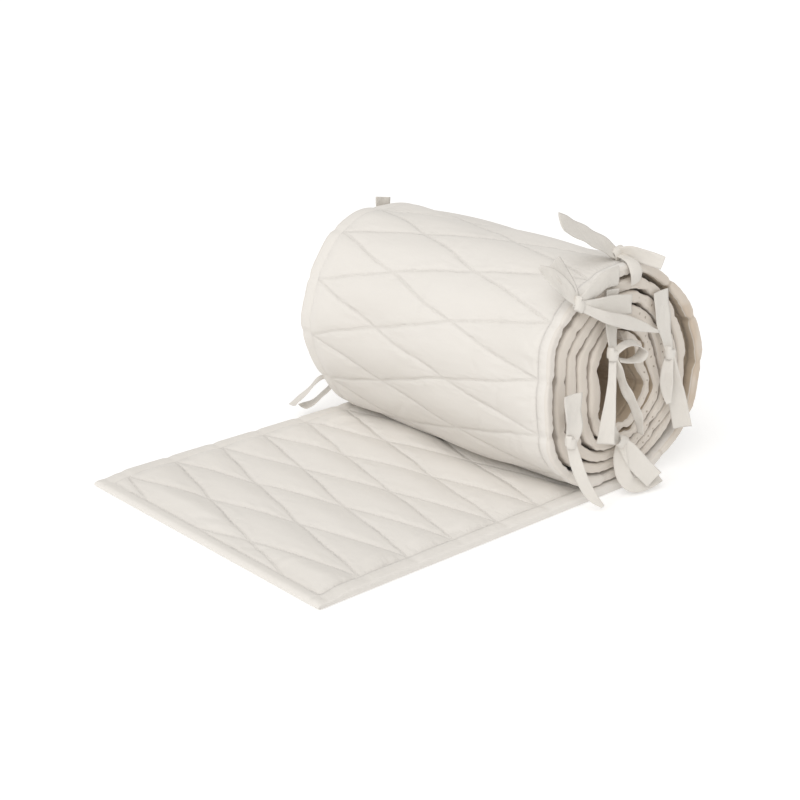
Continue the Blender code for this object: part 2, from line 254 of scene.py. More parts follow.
# columns on a hidden side, the same from both edges to the middle one
PICKS = np.array(HALF_PICKS + (FINE // 2,) + tuple(FINE - 1 - i for i in reversed(HALF_PICKS)))
BORDER_COLUMNS = 8  # of them in each border strip
ARC = 7  # points round each long edge
EDGE_FACE, EDGE_SPAN = -0.0125, 0.010  # what the edges hold as distance inside the border lines


def panel_columns():
    """Y of the fine columns, far edge first, closer together in the two borders."""
    edge = HALF_WIDTH - EDGE_INSET
    far = np.linspace(edge, QUILT_ROWS[0], BORDER_COLUMNS + 1)[:-1]
    middle = np.linspace(QUILT_ROWS[0], QUILT_ROWS[-1], FINE - 2 * BORDER_COLUMNS)
    near = np.linspace(QUILT_ROWS[-1], -edge, BORDER_COLUMNS + 1)[1:]
    return np.concatenate((far, middle, near))


def length_along(curve):
    """Running length of a curve at each of its points, 0 at the first."""
    return np.concatenate(([0.0], np.cumsum(np.linalg.norm(np.diff(curve, axis=0), axis=1))))


def stations():
    """Station table: flat x (or the roll's centre), winding in degrees (-1 on the flat),
    quilting phase and length along the panel, then the centre line's whole length and a
    function that gives the length at a flat x or a winding angle."""
    tip = TIP_X + TIP_ROUND * (1.0 - np.array((0.985, 0.95, 0.88, 0.78, 0.65, 0.5, 0.33, 0.16, 0.0)))
    hem = np.linspace(TIP_X + 0.0048, TIP_X + TIP_HEM, 5)
    quilted = np.arange(TIP_X + TIP_HEM + 0.0015, -0.030, 0.0020)
    flat_x = np.concatenate((tip, hem, quilted, (-0.026, -0.018, -0.011)))
    sweep = np.arange(0.0, TURNS * 360.0 + 1.0, 0.5)
    line = roll_points(sweep, np.zeros_like(sweep), 0.0, 0.0)
    centre = roll_points(sweep, np.zeros_like(sweep), 0.5, 0.0)
    length, centre_length = length_along(line), length_along(centre)
    outer = np.concatenate((np.arange(0.0, 18.0, 3.0), np.arange(18.0, 196.0, 2.0),
                            np.arange(196.0, 350.0, 1.25), (352.0, 356.0)))
    first, last = np.interp(360.0, sweep, length), np.interp(TURNS * 360.0, sweep, length)
    inner = np.interp(np.linspace(first, last, int((last - first) / 0.0036)), length, sweep)
    winding = np.concatenate((outer, inner))
    roll_length = np.interp(winding, sweep, length)
    phase_flat = (flat_x - QUILT_X) / CELL
    phase_roll = (ROLL_X - QUILT_X) / CELL + roll_length / ROUND_CELL
    phase_roll = phase_roll + CELL_SHIFT * ease(roll_length, 0.0, SHIFT_LENGTH)
    x = np.concatenate((flat_x, np.full(len(winding), ROLL_X)))
    wind = np.concatenate((np.full(len(flat_x), -1.0), winding))
    phase = np.concatenate((phase_flat, phase_roll))
    run = np.concatenate((flat_x - TIP_X, ROLL_X - TIP_X + roll_length))

    def run_of(kind, place):
        """Length along the panel at a flat X or at a winding angle."""
        return place - TIP_X if kind == "flat" else ROLL_X - TIP_X + float(np.interp(place, sweep, length))

    return x, wind, phase, run, float(ROLL_X - TIP_X + centre_length[-1]), run_of


def flat_top(x, y):
    """Height of the flat part's quilted top, fading to the plain cloth under the roll."""
    fade = 1.0 - ease(x, *FLAT_ENDS)
    return THICKNESS + fade * relief((x - QUILT_X) / CELL, y, x - TIP_X - TIP_HEM, FLAT_STITCH, FLAT_PUFF)


def flat_points(x, y, phase, run, folds, inward):
    """One face of the flat part. The top is the cloth's thickness, less the hem's
    thinning, plus the relief and folds. Near the tip both faces close on the middle
    height by sqrt(1 - t^2), t being how far into the rounding the point lies."""
    tip = np.clip(1.0 - (x - TIP_X) / TIP_ROUND, 0.0, 1.0)
    rounded = np.sqrt(1.0 - tip**2)
    if inward < 0.5:
        return np.stack((x, y, TIP_MIDDLE * (1.0 - rounded)), -1)
    lift = (1.0 - ease(x, *FLAT_ENDS)) * (relief(phase, y, run - TIP_HEM, FLAT_STITCH, FLAT_PUFF) + folds)
    thin = (THICKNESS - TIP_HEM_THICKNESS) * (1.0 - ease(x, TIP_X + 0.009, TIP_X + 0.030))
    return np.stack((x, y, TIP_MIDDLE + (THICKNESS - thin + lift - TIP_MIDDLE) * rounded), -1)


def inner_height(wind, y, phase, drawn, notch, gather, loose):
    """Height of the turns' inside: small pillows where the outer turn hangs free of the
    next one, and the gathers where the edge is drawn in."""
    free = ease(wind, 45.0, 70.0) * (1.0 - ease(wind, 140.0, 170.0))
    line = np.clip(border_distance(y) / LINE_FADE, 0.0, 1.0) ** 0.5
    strip = np.clip(-border_distance(y) / 0.004, 0.0, 1.0)
    pillows = np.maximum(pillow(phase, quilt_row(y)) * line, 0.5 * strip * (1.0 - notch))
    return -0.0028 * free * pillows + drawn * (0.0001 + 0.0016 * notch + 0.0008 * gather + 0.0004 * loose)


def outer_height(wind, y, phase, folds, drawn, notch, gather, loose):
    """Height of the turns' outside: the quilting on the outer turn, its sag on to the flat
    part, and the gathers, which are deeper on the inner turns."""
    fade = ease(wind, 12.0, 34.0) * (1.0 - ease(wind, 322.0, 344.0))
    raised = fade * (relief(phase, y, np.full(wind.shape, 1.0), TURN_STITCH, TURN_PUFF) + folds)
    sag = ease(wind, 285.0, 322.0) * (1.0 - ease(wind, 340.0, 356.0))
    raised = raised + SAG * sag * (0.20 + 0.80 * ease(y, -0.135, -0.040))
    calm = np.where((y > 0.0) & (wind < 350.0), 0.15, 1.0)
    outer = calm * (0.0008 * notch + 0.0003 * gather)
    inner = ease(wind, *SECOND_TURN) * (0.0001 + 0.0008 * notch + 0.0005 * gather + 0.0004 * loose)
    return raised - drawn * (outer + inner)


def face_points(x, wind, phase, run, y, inward, run_of):
    """Grid of points of one face. inward 0 is the outside of the turns (the underside of
    the flat part), inward 1 their inside (its top). The outer turn rests on the flat
    part's top where it would sink into it."""
    along = (values[:, None] for values in (x, wind, phase, run))
    x, wind, phase, run, y = np.broadcast_arrays(*along, y[None, :])
    folds = creases(run, y, run_of)
    notch, gather, loose = edge_gathers(phase, run, y)
    drawn = ease(np.abs(y), 0.122, 0.148) * ease(wind, *EDGE_STARTS)
    if inward > 0.5:
        raised = inner_height(wind, y, phase, drawn, notch, gather, loose)
    else:
        raised = outer_height(wind, y, phase, folds, drawn, notch, gather, loose)
    wound = soft_warp(roll_points(np.maximum(wind, 0.0), y, inward, raised))
    if inward < 0.5:
        low = (wind > 285.0) & (wind < 352.0)
        rest = flat_top(wound[..., 0], y) + REST_GAP
        wound[..., 2] = np.where(low, np.maximum(wound[..., 2], rest), wound[..., 2])
    return np.where((wind < 0.0)[..., None], flat_points(x, y, phase, run, folds, inward), wound)


def edge_shift(wind):
    """How far a layer's edge stands back from the end plane, in two slow waves."""
    turn = np.maximum(wind, 0.0) / 360.0
    slow = 0.0016 * (1.0 + np.sin(7.3 * turn + 0.4)) * ease(wind, 200.0, 420.0)
    quick = 0.0010 * (1.0 + np.sin(31.0 * turn))
    return np.where(wind < 0.0, 0.0, (slow + quick) * ease(wind, 20.0, 90.0))


def edge_arcs(inside, outside, wind, phase, run):
    """The near and the far long edge at every station: points from the top face's last one
    to the under face's, by (1 - cos a) / 2, bulging outwards by the edge's depth times
    sin(a)^0.75, less a narrow groove in the middle, where the seam is, and less where
    the edge is gathered. Returns the two arcs and the share from top to under face."""
    angle = np.linspace(0.0, math.pi, ARC + 2)[1:-1]
    seam = 1.0 - 0.22 * np.exp(-((angle - math.pi / 2.0) / 0.20) ** 2)
    bulge = EDGE_INSET * np.sin(angle) ** 0.75 * seam
    share = (1.0 - np.cos(angle)) / 2.0
    arcs = []
    for column, sign in ((-1, -1.0), (0, 1.0)):
        top, low = inside[:, column], outside[:, column]
        arc = top[:, None, :] * (1.0 - share)[None, :, None] + low[:, None, :] * share[None, :, None]
        notch, gather, loose = edge_gathers(phase, run, np.full(len(wind), 0.1 * sign))
        depth = 1.0 - ease(wind, *EDGE_STARTS) * (0.30 * notch + 0.16 * gather + 0.10 * loose)
        arc[..., 1] += sign * depth[:, None] * bulge[None, :]
        arcs.append(arc)
    return arcs[0], arcs[1], share


def panel_faces(numbers, count):
    """Faces of the closed tube: bands along each of the four sides, a row of quads at each
    of the four corners between them, and one face at each end."""
    faces = []
    for key, turned in (("inside", False), ("near", False), ("outside", True), ("far", True)):
        rows = numbers[key]
        for a, b in zip(rows, rows[1:]):
            faces.extend(band(a, b, turned))
    for first, second, at_end, turned in (("inside", "near", -1, False), ("inside", "far", 0, True),
                                          ("outside", "near", -1, True), ("outside", "far", 0, False)):
        tip = 0 if first == "inside" else -1
        one = np.array([row[at_end] for row in numbers[first]])
        two = np.array([row[tip] for row in numbers[second]])
        quads = np.stack((one[:-1], two[:-1], two[1:], one[1:]), 1)
        faces.extend((quads[:, ::-1] if turned else quads).tolist())
    for station, turned in ((0, True), (count - 1, False)):
        ring = np.concatenate((numbers["inside"][station], numbers["near"][station],
                               numbers["outside"][station][::-1], numbers["far"][station][::-1]))
        faces.append(tuple(ring[::-1] if turned else ring))
    return faces


def make_panel():
    """Closed loop of points at each station: top face, near edge, under face, far edge.
    The quilted side that shows has all columns and the hidden side only the picked ones.
    The material reads phase, row and distance inside the border lines at each point, and
    which points belong to the turns' inside."""
    x, wind, phase, run, length, run_of = stations()
    y = panel_columns()
    count = len(x)
    inside = face_points(x, wind, phase, run, y, 1.0, run_of)
    outside = face_points(x, wind, phase, run, y, 0.0, run_of)
    near, far, share = edge_arcs(inside, outside, wind, phase, run)
    fine_inside = (wind < 0.0) & (x < -0.033)
    fine_outside = (wind > 11.0) & (wind < 349.0)
    shift = edge_shift(wind)
    vertices, quilt, inner_side = [], [], []
    numbers = {"inside": [], "outside": [], "near": [], "far": []}
    start = 0
    every = np.arange(FINE)
    for i in range(count):
        pick_in = every if fine_inside[i] else PICKS
        pick_out = every if fine_outside[i] else PICKS
        sides = (("inside", inside[i, pick_in], y[pick_in]), ("outside", outside[i, pick_out], y[pick_out]),
                 ("near", near[i], np.full(ARC, -HALF_WIDTH)), ("far", far[i], np.full(ARC, HALF_WIDTH)))
        for key, points, across in sides:
            points = points.copy()
            points[:, 1] += shift[i] * (ease(-points[:, 1], 0.10, 0.15) - ease(points[:, 1], 0.10, 0.15))
            numbers[key].append(np.arange(start, start + len(points)))
            start += len(points)
            vertices.append(points)
            depth = np.minimum(border_distance(across), run[i] - TIP_HEM)
            depth = depth if key in ("inside", "outside") else EDGE_FACE - EDGE_SPAN * share
            row = quilt_row(across)
            quilt.append(np.stack((drifted(phase[i], row), row, depth), 1))
            inner_side.append(np.full(len(points), 1.0 if key == "inside" and wind[i] > 20.0 else 0.0))
    panel = new_mesh("quilted_panel", np.concatenate(vertices), panel_faces(numbers, count))
    add_attribute(panel, "quilt", "FLOAT_VECTOR", "vector", np.concatenate(quilt))
    add_attribute(panel, "inner_side", "FLOAT", "value", np.concatenate(inner_side))
    return panel, length


def band(a, b, turned):
    """Faces between two rows of vertex numbers. Where only one row has all columns, each
    picked edge gets one face that takes in the fine edges beside it."""
    if len(a) == len(b):
        quads = np.stack((a[:-1], a[1:], b[1:], b[:-1]), 1)
        return (quads[:, ::-1] if turned else quads).tolist()
    coarse, fine = (a, b) if len(a) < len(b) else (b, a)
    flip = (len(a) > len(b)) != turned
    faces = []
    for k in range(len(coarse) - 1):
        face = [coarse[k], coarse[k + 1]] + fine[PICKS[k]:PICKS[k + 1] + 1][::-1].tolist()
        faces.append(face[::-1] if flip else face)
    return faces


def new_mesh(name, vertices, faces):
    """Smooth mesh object at the origin."""
    mesh = bpy.data.meshes.new(name)
    mesh.from_pydata(np.asarray(vertices).tolist(), [], [tuple(int(v) for v in face) for face in faces])
    mesh.validate()
    mesh.shade_smooth()
    piece = bpy.data.objects.new(name, mesh)
    bpy.context.scene.collection.objects.link(piece)
    return piece


def add_attribute(piece, name, kind, field, values):
    """Values for each point, for the materials to read."""
    attribute = piece.data.attributes.new(name, kind, "POINT")
    attribute.data.foreach_set(field, values.astype(np.float32).ravel())


# ---------------------------------------------------------------- ribbons


def smooth_line(points, steps):
    """Catmull-Rom curve through the points, steps to a span."""
    p = np.asarray(points, float)
    before = np.concatenate((p[:1], p[:-2]))
    start, end = p[:-1], p[1:]
    after = np.concatenate((p[2:], p[-1:]))
    t = (np.arange(steps) / steps)[None, :, None]
    a, b, c, d = (v[:, None, :] for v in (before, start, end, after))
    curve = 0.5 * (2 * b + (c - a) * t + (2 * a - 5 * b + 4 * c - d) * t**2 + (3 * b - a - 3 * c + d) * t**3)
    return np.concatenate((curve.reshape(-1, p.shape[1]), p[-1:]))


def ribbon_strip(points, across, widths, cups=None, steps=10, columns=11):
    """Flat band along a curve. across is the band's width direction, or, with one angle
    for each point, how far the band is turned from facing the front left. A section is
    side * s * width / 2 plus a cupping of cup * (s^2 - 1/3) * width / 2 and a fine ripple
    along the band's normal, s from -1 to 1, with the band's thickness between its two
    faces. Returns vertices, faces, (across, along) at each vertex, and the length."""
    centre = smooth_line(np.asarray(points, float) / 1000.0, steps)
    if np.ndim(across) == 2 or len(across) == 3:
        side = smooth_line(np.broadcast_to(np.asarray(across, float), (len(points), 3)), steps)
    else:
        turn = np.radians(smooth_line(np.asarray(across, float)[:, None], steps))
        tangent = np.gradient(centre, axis=0)
        tangent /= np.linalg.norm(tangent, axis=1)[:, None]
        flat = np.cross(tangent, FRONT_LEFT)
        flat /= np.linalg.norm(flat, axis=1)[:, None]
        side = flat * np.cos(turn) + np.cross(tangent, flat) * np.sin(turn)
    width = smooth_line(np.asarray(widths, float)[:, None] / 1000.0, steps)[:, 0]
    cups = [0.12] * len(points) if cups is None else cups
    cup = smooth_line(np.asarray(cups, float)[:, None], steps)[:, 0]
    along = np.gradient(centre, axis=0)
    along /= np.linalg.norm(along, axis=1)[:, None]
    side = side - (side * along).sum(1)[:, None] * along
    side /= np.linalg.norm(side, axis=1)[:, None]
    normal = np.cross(along, side)
    run = length_along(centre)
    s = np.linspace(-1.0, 1.0, columns)
    ripple = 0.00050 * np.sin(run[:, None] / 0.0042 + 2.0 * s[None, :]) * np.abs(s[None, :])
    lift = (cup * width / 2.0)[:, None] * (s[None, :] ** 2 - 1.0 / 3.0) + ripple
    middle = centre[:, None] + side[:, None] * (s[None, :, None] * width[:, None, None] / 2.0)
    middle = middle + normal[:, None] * lift[..., None]
    taper = (0.35 + 0.65 * np.sqrt(np.clip(1.0 - s**2, 0.0, 1.0)))[None, :, None]
    half = normal[:, None] * RIBBON_THICKNESS / 2.0 * taper
    ring = np.concatenate((middle + half, (middle - half)[:, ::-1]), 1)
    u = np.concatenate((s, s[::-1]))[None, :] * width[:, None] / 2.0
    weave = np.stack((u, np.broadcast_to(run[:, None], u.shape)), -1).reshape(-1, 2)
    return ring.reshape(-1, 3), strip_faces(len(ring), columns), weave, float(run[-1])


def strip_faces(sections, columns):
    """Faces of a band whose sections go once round it, over one face and back over the
    other: quads from section to section, and a row of quads over each end."""
    around = 2 * columns
    grid = np.arange(sections * around).reshape(sections, around)
    after = np.roll(grid, -1, axis=1)
    faces = np.stack((grid[:-1], grid[1:], after[1:], after[:-1]), -1).reshape(-1, 4).tolist()
    pairs = np.arange(columns - 1)
    for row, turned in ((grid[0], False), (grid[-1], True)):
        caps = np.stack((row[pairs], row[pairs + 1], row[around - 2 - pairs], row[around - 1 - pairs]), 1)
        faces.extend((caps[:, ::-1] if turned else caps).tolist())
    return faces


KNOT_POINTS = 14


def knot_wrap(centre, axis, lean, radius, width, turns=1.15):
    """Band wound about an axis: centre + radius (cos, sin) in the plane across it, sliding
    along the axis by lean times the angle, so that its two ends overlap like a knot's."""
    axis = np.asarray(axis, float)
    axis = axis / np.linalg.norm(axis)
    helper = np.array((0.0, 1.0, 0.0)) if abs(axis[1]) < 0.8 else np.array((1.0, 0.0, 0.0))
    first = np.cross(axis, helper)
    first /= np.linalg.norm(first)
    second = np.cross(axis, first)
    angle = np.linspace(0.0, 2.0 * math.pi * turns, KNOT_POINTS)
    grow = 1.0 + 0.10 * angle / (2.0 * math.pi)
    points = (np.asarray(centre, float)[None] + radius * 1.15 * (grow * np.cos(angle))[:, None] * first[None]
              + radius * 0.85 * (grow * np.sin(angle))[:, None] * second[None]
              + (lean * (angle / math.pi - turns))[:, None] * axis[None])
    across = axis[None] + 0.25 * np.sin(angle + 0.7)[:, None] * first[None]
    widths, cups = np.full(KNOT_POINTS, width), np.full(KNOT_POINTS, -0.10)
    return ribbon_strip(points, across, widths, cups, steps=4, columns=9)


# ties, in mm: the knot and its axis, then its bands, each with the points it passes,
# its width direction (or one angle in degrees for each point) and its widths
TIES = {
    "tie_near_top": ((-3, -130, 199.5), (1.0, 0.0, 0.1), (
        (((-2, -151.1, 180), (-5, -153.2, 190), (-5, -147, 198), (-3, -130, 199.5)),
         (1, 0, 0.1), (13, 13, 11, 7)),
        (((-3, -130, 199.5), (-18, -129, 209), (-42, -129, 222), (-71, -130, 237)),
         (30, 42, 42, 38), (11, 19, 20, 18)),
        (((-3, -130, 199.5), (1, -139, 202), (8, -152, 199), (13, -165, 196)),
         (20, 30, 20, 10), (7, 11, 12, 11)),
    )),
    "tie_near_upper": ((-73, -154, 176), (0.6, 0.1, 0.8), (
        (((-24, -151.1, 190), (-40, -153.0, 190), (-58, -154.5, 184), (-73, -154, 176)),
         (0.2, 0.0, 1.0), (16, 16, 14, 7)),
        (((-73, -154, 176), (-81, -150, 187), (-92, -145, 199), (-104, -140, 209)),
         (45, 36, 28, 20), (7, 14, 15, 4)),
        (((-73, -154, 176), (-77, -148, 189), (-82, -143, 201), (-88, -140, 211)),
         (30, 36, 40, 30), (7, 12, 16, 13)),
        (((-73, -154, 176), (-60, -157.5, 172), (-38, -157, 169), (-12, -155.5, 165)),
         (0.15, 0.1, 1.0), (7, 14, 17, 16)),
        (((-73, -154, 176), (-54, -162, 165), (-20, -163, 152), (17, -162, 137)),
         (0.35, 0.2, 0.9), (6, 9, 11, 2)),
    )),
    "tie_near_middle": ((-36, -159, 129), (0.2, 0.0, 1.0), (
        (((-31, -151.1, 180), (-32, -152.5, 164), (-34, -154.5, 147), (-36, -159, 129)),
         (1, 0, 0), (14, 14, 13, 8)),
        (((-36, -159, 129), (-39, -162, 105), (-42, -163, 82), (-46, -164, 56)),
         (10, 0, -5, -8), (6, 7, 11, 15)),
        (((-36, -159, 129), (-31, -162, 116), (-25, -163, 101), (-14, -163.5, 84), (-6, -164, 69),
          (-3, -165, 54)),
         (60, 58, 52, 50, 56, 60), (6, 9, 10, 10, 10, 8)),
        (((-36, -159, 129), (-27, -162, 135), (-14, -163, 134), (-4, -163, 127), (-7, -162.5, 121),
          (-18, -161.5, 120), (-31, -160.5, 124)),
         (0.15, 1.0, 0.25), (7, 9, 11, 11, 11, 9, 7)),
    )),
    "tie_near_right": ((38, -157.5, 113), (0.3, 0.0, 1.0), (
        (((29, -151.1, 167), (31, -152.6, 148), (35, -154.0, 130), (38, -157.5, 113)),
         (1, 0, 0.1), (17, 18, 14, 8)),
        (((38, -157.5, 113), (33, -160, 99), (32, -161, 86), (35, -162, 70)),
         (24, 18, 12, 10), (7, 10, 11, 4)),
        (((38, -157.5, 113), (40, -161, 95), (46, -162, 72), (53, -164, 45)),
         (30, 24, 12, 14), (7, 11, 15, 16)),
    )),
    "tie_near_bottom": ((-18, -157, 49), (0.75, 0.0, -0.6), (
        (((-26, -151.1, 60), (-25, -152.8, 56), (-22, -155, 52), (-18, -157, 49)),
         (0.75, 0.1, 0.65), (13, 13, 11, 8)),
        (((-18, -157, 49), (-14, -161.5, 42), (-8, -165, 32), (1, -169, 21), (9, -172, 12)),
         (10, 5, 0, 0, 0), (9, 14, 17, 17, 17)),
        (((-18, -157, 49), (-18, -157.5, 34), (-15, -159, 19), (-8, -163, 9.5), (6, -166, 8.5),
          (21, -167, 11)),
         (30, 20, 5, 0, 0, -10), (8, 12, 13, 13, 13, 12)),
    )),
    "tie_near_left": ((-80, -157.5, 65), (0.2, 0.0, 1.0), (
        (((-74, -151.1, 84), (-75, -152.6, 78), (-78, -154.5, 72), (-80, -157.5, 65)),
         (1, 0, 0), (13, 12, 11, 9)),
        (((-80, -157.5, 65), (-80, -160.5, 77), (-83, -161, 92), (-84, -161, 107)),
         (10, 30, 38, 34), (10, 15, 18, 18)),
        (((-80, -157.5, 65), (-77, -161, 48), (-71, -164, 31), (-62, -167, 15), (-52, -170, 5)),
         (0, 5, 15, 25, 35), (8, 10, 10, 9, 3)),
    )),
    "tie_far_top": (None, None, (
        (((-5, 154.0, 197.5), (-7, 152.2, 186), (-10, 151.6, 170), (-14, 154, 148)),
         (1, 0, 0), (17, 17, 15, 13)),
    )),
    "tie_far_low": ((-62, 158, 32), (0.9, -0.1, 0.0), (
        (((-50, 151.2, 46), (-54, 152.9, 40), (-62, 158, 32)),
         (0.75, 0.0, -0.65), (11, 10, 6)),
        (((-62, 158, 32), (-75, 161, 34), (-88, 161, 28), (-100, 161, 21), (-111, 161.5, 15)),
         (64, 66, 68, 66, 60), (7, 9, 10, 11, 13)),
        (((-62, 158, 32), (-66, 161, 22), (-76, 162, 15.5), (-87, 162, 11.5), (-98, 162.5, 9.5)),
         (66, 66, 64, 62, 58), (7, 9, 11, 12, 14)),
    )),
}


def make_tie(name, knot, knot_axis, strips):
    """One ribbon: its bands, and two bands wound round the knot, the second one askew.
    Returns the piece and the length of all its bands."""
    vertices, faces, weave = [], [], []
    length = 0.0
    start = 0
    bands = [ribbon_strip(points, across, widths) for points, across, widths in strips]
    if knot is not None:
        bands.append(knot_wrap(knot, knot_axis, lean=1.2, radius=4.2, width=9.0))
        tilt = np.asarray(knot_axis, float) + np.array((0.7, 0.1, -0.3))
        bands.append(knot_wrap(knot, tilt, lean=0.8, radius=3.4, width=7.0, turns=1.0))
    for points, quads, uv, run in bands:
        vertices.append(points)
        faces.extend((np.asarray(quads) + start).tolist())
        weave.append(uv)
        start += len(points)
        length += run
    tie = new_mesh(name + "_ribbon", np.concatenate(vertices), faces)
    add_attribute(tie, "weave", "FLOAT2", "vector", np.concatenate(weave))
    return tie, length


# ---------------------------------------------------------------- materials


class Nodes:
    """Short names for adding and linking shader nodes."""

    def __init__(self, name):
        self.material = bpy.data.materials.new(name)
        self.material.use_nodes = True
        self.tree = self.material.node_tree
        self.shader = self.tree.nodes["Principled BSDF"]

    def link(self, source, socket):
        """Joins an output to a socket, or sets the socket to a plain value."""
        if hasattr(source, "links"):
            self.tree.links.new(source, socket)
        else:
            socket.default_value = source

    def math(self, operation, *values):
        """One sum, product or other operation on numbers."""
        node = self.tree.nodes.new("ShaderNodeMath")
        node.operation = operation
        for value, socket in zip(values, node.inputs):
            self.link(value, socket)
        return node.outputs[0]

    def product(self, *values):
        """All the values multiplied, from the first to the last."""
        total = values[0]
        for value in values[1:]:
            total = self.math("MULTIPLY", total, value)
        return total

    def step(self, value, low, high, from_value=0.0, to_value=1.0):
        """Smooth step of the value from low to high."""
        node = self.tree.nodes.new("ShaderNodeMapRange")
        node.interpolation_type = "SMOOTHSTEP"
        for key, item in (("Value", value), ("From Min", low), ("From Max", high),
                          ("To Min", from_value), ("To Max", to_value)):
            self.link(item, node.inputs[key])
        return node.outputs[0]

    def mix(self, share, first, second):
        """Colour between the first (share 0) and the second (share 1)."""
        node = self.tree.nodes.new("ShaderNodeMix")
        node.data_type = "RGBA"
        self.link(share, node.inputs[0])
        self.link(first, node.inputs[6])
        self.link(second, node.inputs[7])
        return node.outputs[2]

    def attribute(self, name):
        """The three parts of a value held by the mesh's points."""
        node = self.tree.nodes.new("ShaderNodeAttribute")
        node.attribute_name = name
        split = self.tree.nodes.new("ShaderNodeSeparateXYZ")
        self.tree.links.new(node.outputs["Vector"], split.inputs[0])
        return split.outputs

    def place(self, axis):
        """One Object coordinate."""
        node = self.tree.nodes.new("ShaderNodeTexCoord")
        split = self.tree.nodes.new("ShaderNodeSeparateXYZ")
        self.tree.links.new(node.outputs["Object"], split.inputs[0])
        return split.outputs[axis]

    def noise(self, scale, detail=2.0, roughness=0.5, stretch=(1.0, 1.0, 1.0)):
        """Noise on the Object coordinates, scaled by stretch along each axis."""
        place = self.tree.nodes.new("ShaderNodeTexCoord")
        mapping = self.tree.nodes.new("ShaderNodeMapping")
        mapping.inputs["Scale"].default_value = stretch
        node = self.tree.nodes.new("ShaderNodeTexNoise")
        node.inputs["Scale"].default_value = scale
        node.inputs["Detail"].default_value = detail
        node.inputs["Roughness"].default_value = roughness
        self.tree.links.new(place.outputs["Object"], mapping.inputs["Vector"])
        self.tree.links.new(mapping.outputs["Vector"], node.inputs["Vector"])
        return node.outputs["Fac"]

    def bump(self, height, strength, distance, before=None):
        """Normal bent by a height, on top of the one before it."""
        node = self.tree.nodes.new("ShaderNodeBump")
        node.inputs["Strength"].default_value = strength
        node.inputs["Distance"].default_value = distance
        self.link(height, node.inputs["Height"])
        if before is not None:
            self.tree.links.new(before, node.inputs["Normal"])
        return node.outputs["Normal"]

    def cloth(self, colour, normal, roughness, specular, sheen):
        """Cloth surface with these looks. Returns the material."""
        self.link(colour, self.shader.inputs["Base Color"])
        self.link(normal, self.shader.inputs["Normal"])
        self.shader.inputs["Roughness"].default_value = roughness
        self.shader.inputs["Specular IOR Level"].default_value = specular
        self.shader.inputs["Sheen Weight"].default_value = sheen
        self.shader.inputs["Sheen Roughness"].default_value = 0.5
        return self.material


def nearest_line(n, phase, row, inside):
    """Distance in metres to the nearest stitch line: triangle waves of phase + row / 2 and
    phase - row / 2 inside the borders, and the distance to the border line. The far
    border line is fainter."""
    half_row = n.math("MULTIPLY", row, 0.5)
    first, second = (n.math("MULTIPLY", n.math("PINGPONG", n.math(way, phase, half_row), 0.5), 0.046)
                     for way in ("ADD", "SUBTRACT"))
    field = n.step(inside, -0.0005, 0.0005)
    outside = n.math("MULTIPLY", n.math("SUBTRACT", 1.0, field), 0.05)
    crossing = n.math("ADD", n.math("MINIMUM", first, second), outside)
    fainter = n.step(row, 0.0, 0.35, 0.01, 0.0)
    return n.math("MINIMUM", crossing, n.math("ADD", n.math("ABSOLUTE", inside), fainter))


def cotton_normal(n, nearest, groove, row):
    """Groove and stitches on the lines, fine puckers beside them, soft creases everywhere,
    and the weave."""
    dash = n.math("GREATER_THAN", n.math("FRACT", n.math("MULTIPLY", row, 27.0)), 0.32)
    thread = n.product(n.step(nearest, 0.0002, 0.0007, 1.0, 0.0), dash)
    pucker = n.product(n.step(nearest, 0.0008, 0.012, 1.0, 0.0), n.noise(85.0, 2.0, 0.5, (2.0, 0.8, 2.0)))
    crease = n.noise(24.0, 3.0, 0.55, (1.0, 0.55, 1.0))
    height = n.math("MULTIPLY", groove, -0.5)
    for part, share in ((thread, 0.25), (pucker, 1.3), (crease, 2.2)):
        height = n.math("ADD", height, n.math("MULTIPLY", part, share))
    return n.bump(n.noise(1500.0, 2.0, 0.6), 0.35, 0.00025, n.bump(height, 1.0, 0.0011))


